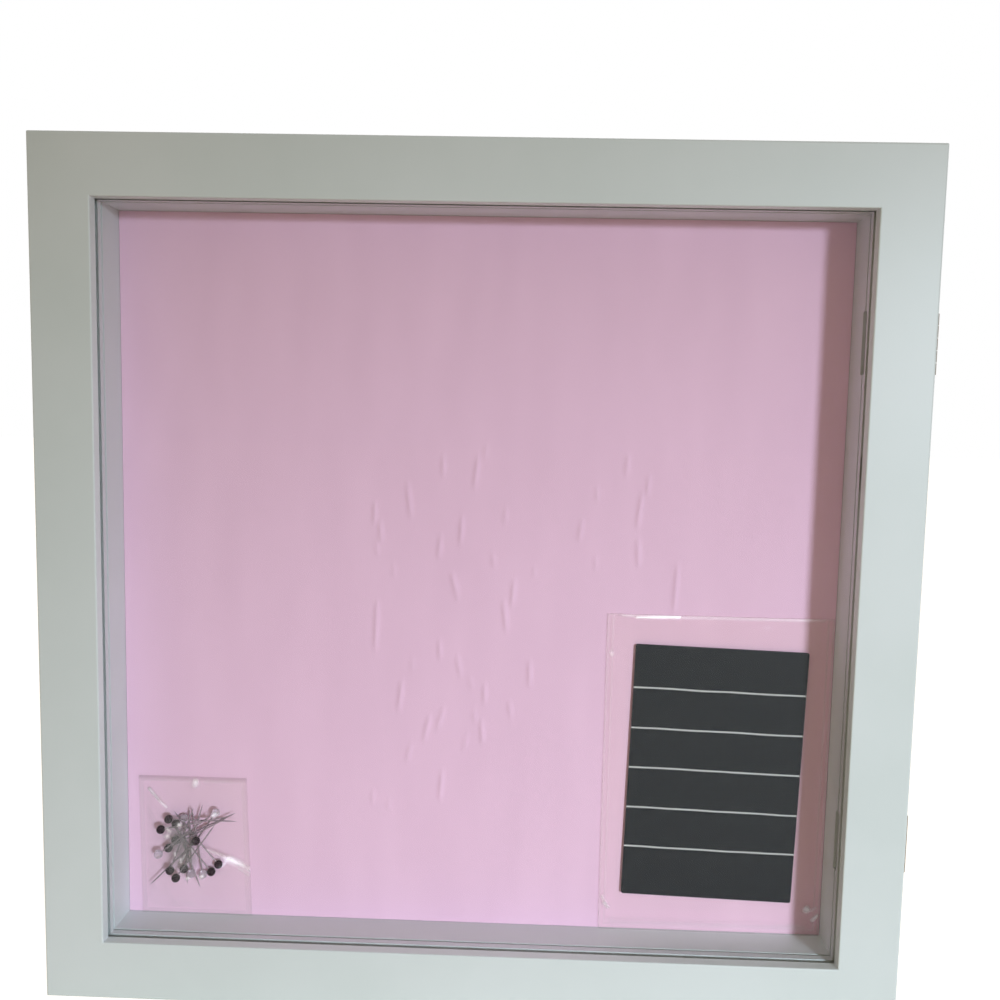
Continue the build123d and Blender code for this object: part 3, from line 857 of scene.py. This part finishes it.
def smoothed(heights, passes):
    for _ in range(passes):
        padded = np.pad(heights, 1, mode="edge")
        around = padded[:-2, 1:-1] + padded[2:, 1:-1] + padded[1:-1, :-2] + padded[1:-1, 2:]
        heights = 0.5 * heights + 0.125 * around
    return heights


def film_grid(wide, tall, step):
    us = np.linspace(0, wide, round(wide / step) + 1)
    vs = np.linspace(0, tall, round(tall / step) + 1)
    return np.meshgrid(us, vs)


def streaks(u, v, lines):
    """Strength of the streaks over arrays of places."""
    total = np.zeros_like(u)
    for u0, v0, u1, v1, half0, half1, strength in lines:
        du, dv = u1 - u0, v1 - v0
        share = np.clip(((u - u0) * du + (v - v0) * dv) / (du * du + dv * dv), 0, 1)
        away = np.hypot(u - u0 - share * du, v - v0 - share * dv)
        half = half0 + (half1 - half0) * share
        total = np.maximum(total, strength * np.exp(-((away / half) ** 2)))
    return total


def film_piece(name, points, replaced, material, marks):
    """A thin closed film through rows of points, with the marks that its material reads."""
    rows, columns = len(points), len(points[0])
    mesh = bpy.data.meshes.new(name)
    faces = []
    for j in range(rows - 1):
        for i in range(columns - 1):
            a = j * columns + i
            faces.append((a, a + 1, a + columns + 1, a + columns))
    mesh.from_pydata([p for row in points for p in row], [], faces)
    mesh.update()
    for mark, values in marks.items():
        mesh.attributes.new(mark, "FLOAT", "POINT").data.foreach_set("value", values.ravel())
    obj = piece(name, mesh, "film", "box", material)
    solid = obj.modifiers.new("thickness", "SOLIDIFY")
    solid.thickness = FILM_THICK * MM
    solid.offset = 0
    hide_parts(*replaced)


def drawn_over(u, v, pins):
    """Height of a film drawn tight over the pins: it slopes away from each of them."""
    height = np.zeros_like(u)
    for head, head_up, tip, tip_up in pins:
        distance = np.hypot(u - head.x, v - head.y)
        height = np.maximum(height, head_up + HEAD_RADIUS + FILM_OVER - TENT_SLOPE * distance)
        for share in np.linspace(0.1, 1, 16):
            spot = head.lerp(tip, share)
            up = head_up + (tip_up - head_up) * share + SHAFT_RADIUS + FILM_OVER
            height = np.maximum(height, up - TENT_SLOPE * np.hypot(u - spot.x, v - spot.y))
    return height


def make_bag(pins):
    u, v = film_grid(bag_wide, bag_tall, FILM_STEP)
    inward = np.minimum(np.minimum(u, bag_wide - u), np.minimum(v, bag_tall - v))
    from_top = bag_tall - v
    taper = 1 + BAG_TAPER * (0.5 - v / bag_tall)
    across = (u - bag_wide / 2) * taper + bag_wide / 2 - (v - bag_tall / 2) * BAG_LEAN
    inside = np.clip((inward - FILM_SEAM) / 6, 0, 1)
    crumple = sum(soft_noise(across, v, size, seed) * rise for size, seed, rise in BAG_CRUMPLE)
    ease = inside * inside * (3 - 2 * inside)
    tent = np.minimum(drawn_over(across, v, pins), np.clip(inward - FILM_SEAM, 0, None) * FILM_RISE)
    folds = fold_height(across, v, BAG_FOLDS) + np.abs(crumple)
    front = smoothed(tent + folds * (0.15 + 0.85 * ease), 4)
    weld = WELD_RISE * np.sin(v * 2 * math.pi / WELD_PITCH) * (inward < FILM_SEAM)
    front = np.clip(front + FRONT_REST + weld, FRONT_LEAST, bag_deep - FRONT_SPARE)
    back = BACK_REST + BACK_RISE * ease * (1 + soft_noise(across, v, *BACK_CRUMPLE)) / 2
    rim = np.exp(-((inward / RIM_HALF) ** 2))
    # A darker band at the folded mouth: two layers of film, and a painted shade under the fold
    mouth = np.exp(-(((from_top - MOUTH_DOWN) / MOUTH_HALF) ** 2))
    # A faint painted sheen along the welded seams
    seam_sheen = 0.05 * (inward < FILM_SEAM) * (1 - rim)
    marks = {
        "crumple_shade": streaks(across, v, BAG_CRUMPLE_SHADE),
        "doubled_and_shaded": np.clip(mouth + 0.35 * rim, 0, 1),
        "painted_glint": np.maximum(streaks(across, v, BAG_PAINTED_GLINTS), seam_sheen),
    }
    for name, heights, node, share in (
        ("bag_front", front, "pin_bag_front_film", 1),
        ("bag_back", back, "pin_bag_back_film", 0),
    ):
        points = [[in_bag(a, b, h) for a, b, h in zip(*rows)] for rows in zip(across, v, heights)]
        shown = {mark: share * values for mark, values in marks.items()}
        film_piece(name, points, [node], MATERIALS["film"], shown)


make_bag(make_pins())


# Label sleeve: a flat clear pocket, open at the top, eased over the card, in millimetres

SLEEVE_STEP = 0.55
SLEEVE_SEAM = 1.6
SLEEVE_REST = 0.34    # height of the front film where it lies flat
SLEEVE_LEAST = 0.3
SLEEVE_SPARE = 0.04
SLEEVE_BACK = 0.08
CARD_SPARE = 0.12     # from the card to the film over it
DRAPE_REACH = 8.5     # how far beside the card the film comes down again
DRAPE_CURVE = 1.4
RIPPLE_SIZE = 9
RIPPLE_SEED = 5.5
RIPPLE_RISE = 0.18
# Painted highlights of the sleeve, at creases, edges and glints, given as those of the bag
SLEEVE_PAINTED_GLINTS = [
    (10.9, 121.9, 26.8, 122.3, 0.45, 0.45, 0.6), (5.3, 122.6, 10.9, 122.1, 0.4, 0.4, 0.2),
    (26.8, 122.2, 80.5, 122.3, 0.4, 0.4, 0.16), (1.8, 108.2, 2.1, 107.4, 0.8, 0.7, 0.25),
    (78.9, 10.8, 79.3, 10.5, 1.1, 1.0, 0.9), (80.7, 10.1, 82.5, 11.2, 0.5, 0.5, 0.25),
    (81.6, 6.3, 83.3, 8.2, 0.6, 0.5, 0.65), (2.2, 10.4, 3.6, 8.8, 0.7, 0.5, 0.6),
    (1.4, 12.9, 2.2, 10.6, 0.6, 0.5, 0.3), (5.0, 3.0, 78.0, 3.0, 1.6, 1.6, 0.1),
]
SLEEVE_FOLDS = [
    (1.5, 1.5, 9.0, 13.0, 0.3, 0.8), (75.5, 14.0, 82.0, 2.0, 0.35, 0.9),
    (70.0, 6.0, 82.0, 4.5, 0.3, 0.7), (2.5, 118.0, 9.5, 111.0, 0.35, 0.9),
    (12.0, 118.5, 34.0, 120.5, 0.4, 1.0), (40.0, 119.0, 80.0, 117.5, 0.3, 1.2),
    (75.0, 111.0, 82.5, 119.0, 0.35, 0.9), (3.5, 30.0, 4.2, 96.0, 0.16, 0.9),
    (78.5, 22.0, 79.5, 100.0, 0.16, 1.0),
]


def make_sleeve():
    wide = (sleeve_high.x - sleeve_low.x) / MM
    tall = (sleeve_high.z - sleeve_low.z) / MM
    deep = (sleeve_high.y - sleeve_low.y) / MM
    sleeve_corner = Vector((sleeve_low.x, sleeve_high.y, sleeve_low.z))
    u, v = film_grid(wide, tall, SLEEVE_STEP)
    card_at = (card_middle - sleeve_low) / MM
    card_size = (card_high - card_low) / MM
    past_u = np.clip(np.abs(u - card_at.x) - card_size.x / 2, 0, None)
    past_v = np.clip(np.abs(v - card_at.z) - card_size.z / 2, 0, None)
    beside = np.hypot(past_u, past_v)
    inward = np.minimum(np.minimum(u, wide - u), v)
    over_card = (sleeve_high.y - card_low.y) / MM + CARD_SPARE
    drape = over_card * np.clip(1 - beside / DRAPE_REACH, 0, 1) ** DRAPE_CURVE
    ease = np.clip((inward - SLEEVE_SEAM) / 5, 0, 1)
    ripple = np.abs(soft_noise(u, v, RIPPLE_SIZE, RIPPLE_SEED)) * RIPPLE_RISE
    ripple = ripple * ease * np.clip(beside / 3, 0, 1)
    folds = fold_height(u, v, SLEEVE_FOLDS) * (0.2 + 0.8 * ease)
    front = smoothed(drape + folds + ripple, 2) + SLEEVE_REST
    front = np.clip(front, SLEEVE_LEAST, deep - SLEEVE_SPARE)
    back = np.full_like(u, SLEEVE_BACK)
    rim = np.exp(-((np.minimum(inward, tall - v) / RIM_HALF) ** 2))
    seam = np.exp(-(((inward - SLEEVE_SEAM * 1.4) / 0.35) ** 2))
    # Painted highlights: bright lines along the cut edge and inside the weld, with glints; darker where
    # the films lie in two layers
    marks = {
        "doubled_and_shaded": 0.4 * rim,
        "painted_glint": np.maximum(streaks(u, v, SLEEVE_PAINTED_GLINTS), np.maximum(0.1 * rim, 0.07 * seam)),
    }
    for name, heights, share in (("sleeve_front", front, 1), ("sleeve_back", back, 0)):
        points = [
            [sleeve_corner + Vector((a, -h, b)) * MM for a, b, h in zip(*rows)]
            for rows in zip(u, v, heights)
        ]
        shown = {mark: share * values for mark, values in marks.items()}
        film_piece(name, points, ["label_sleeve"], MATERIALS["sleeve"], shown)


make_sleeve()


# Stage, in metres

# The lamp in front of the frame, on its right
KEY_PLACE = Vector((1.384, -2.517, 0.538))
KEY_AIM = Vector((0.142, 0, -0.167))
KEY_RADIUS = 0.19
KEY_CONE = math.radians(26.7)
KEY_WATTS = 248
KEY_COLOUR = (0.9, 1.02, 1.16)


def make_key_light():
    """A soft spot whose light fades evenly from its axis to the edge of its cone."""
    data = bpy.data.lights.new("key", "SPOT")
    data.shadow_soft_size = KEY_RADIUS
    data.spot_size = KEY_CONE
    data.spot_blend = 1.0
    data.energy = KEY_WATTS
    data.color = KEY_COLOUR
    lamp = bpy.data.objects.new("key", data)
    lamp.visible_camera = False
    lamp.location = KEY_PLACE
    lamp.rotation_euler = (KEY_AIM - KEY_PLACE).to_track_quat("-Z", "Y").to_euler()
    bpy.context.scene.collection.objects.link(lamp)


def background_rays(tree):
    """1 for the rays that see the plain white background: camera, glossy and transmission."""
    path = tree.nodes.new("ShaderNodeLightPath")
    total = path.outputs["Is Camera Ray"]
    for name in ("Is Glossy Ray", "Is Transmission Ray"):
        node = tree.nodes.new("ShaderNodeMath")
        node.operation = "MAXIMUM"
        tree.links.new(total, node.inputs[0])
        tree.links.new(path.outputs[name], node.inputs[1])
        total = node.outputs[0]
    return total


WORLD_LIGHT = 0.345
WARM_LEFT = (1.0, 0.79, 0.46, 1)
WARM_RIGHT = (1.0, 0.9, 0.84, 1)


def make_world():
    """White to the camera and in reflections, with a plain warm light, warmest from the left."""
    world = bpy.data.worlds.new("studio")
    bpy.context.scene.world = world
    world.use_nodes = True
    tree = world.node_tree
    tree.nodes.clear()
    seen = tree.nodes.new("ShaderNodeBackground")
    seen.inputs["Color"].default_value = (1, 1, 1, 1)
    seen.inputs["Strength"].default_value = 1.0
    lit = tree.nodes.new("ShaderNodeBackground")
    lit.inputs["Strength"].default_value = WORLD_LIGHT
    axes = tree.nodes.new("ShaderNodeSeparateXYZ")
    tree.links.new(tree.nodes.new("ShaderNodeTexCoord").outputs["Generated"], axes.inputs[0])
    across = tree.nodes.new("ShaderNodeMapRange")
    across.inputs["From Min"].default_value = -1.0
    tree.links.new(axes.outputs["X"], across.inputs["Value"])
    warmth = tree.nodes.new("ShaderNodeMix")
    warmth.data_type = "RGBA"
    tree.links.new(across.outputs[0], warmth.inputs[0])
    warmth.inputs[6].default_value = WARM_LEFT
    warmth.inputs[7].default_value = WARM_RIGHT
    tree.links.new(warmth.outputs[2], lit.inputs["Color"])
    mix = tree.nodes.new("ShaderNodeMixShader")
    out = tree.nodes.new("ShaderNodeOutputWorld")
    tree.links.new(background_rays(tree), mix.inputs["Fac"])
    tree.links.new(lit.outputs[0], mix.inputs[1])
    tree.links.new(seen.outputs[0], mix.inputs[2])
    tree.links.new(mix.outputs[0], out.inputs["Surface"])


FLOOR_REACH = 6.0
FLOOR_GAP = 0.2 * MM
FLOOR_GLOW = 0.9
FLOOR_PALE = (0.8, 0.72, 0.58, 1)


def make_floor():
    mesh = bpy.data.meshes.new("floor")
    corners = [(FLOOR_REACH * x, FLOOR_REACH * y, 0) for x, y in ((-1, -1), (1, -1), (1, 1), (-1, 1))]
    mesh.from_pydata(corners, [], [(0, 1, 2, 3)])
    floor = bpy.data.objects.new("floor", mesh)
    floor.location.z = cad_low.z - FLOOR_GAP
    bpy.context.scene.collection.objects.link(floor)
    n = Nodes("floor_white")
    pale = n.add("ShaderNodeBsdfDiffuse")
    pale.inputs["Color"].default_value = FLOOR_PALE
    glow = n.add("ShaderNodeEmission")
    n.link(n.math("MULTIPLY", background_rays(n.tree), FLOOR_GLOW), glow.inputs["Strength"])
    both = n.add("ShaderNodeAddShader")
    n.link(pale.outputs[0], both.inputs[0])
    n.link(glow.outputs[0], both.inputs[1])
    mesh.materials.append(n.finish(both.outputs[0]))


make_world()
make_floor()
make_key_light()
bpy.context.scene.cycles.transparent_max_bounces = 32     # light crosses many layers of film


# Camera, standing where the photograph was taken from
CAMERA_PLACE = (0.02065, -0.32772, 0.21622)
CAMERA_TURN = (84.966, -1.251, 1.568)     # degrees
CAMERA_LENS = 32.457
CAMERA_SENSOR = 36.0
CAMERA_SHIFT = (-0.0118, -0.00255)
CAMERA_NEAR = 0.01

camera_data = bpy.data.cameras.new("camera")
camera_data.lens = CAMERA_LENS
camera_data.sensor_width = CAMERA_SENSOR
camera_data.shift_x, camera_data.shift_y = CAMERA_SHIFT
camera_data.clip_start = CAMERA_NEAR
camera = bpy.data.objects.new("camera", camera_data)
camera.location = CAMERA_PLACE
camera.rotation_euler = Euler([math.radians(a) for a in CAMERA_TURN])
bpy.context.scene.collection.objects.link(camera)
bpy.context.scene.camera = camera
bpy.context.scene.view_settings.view_transform = "Standard"
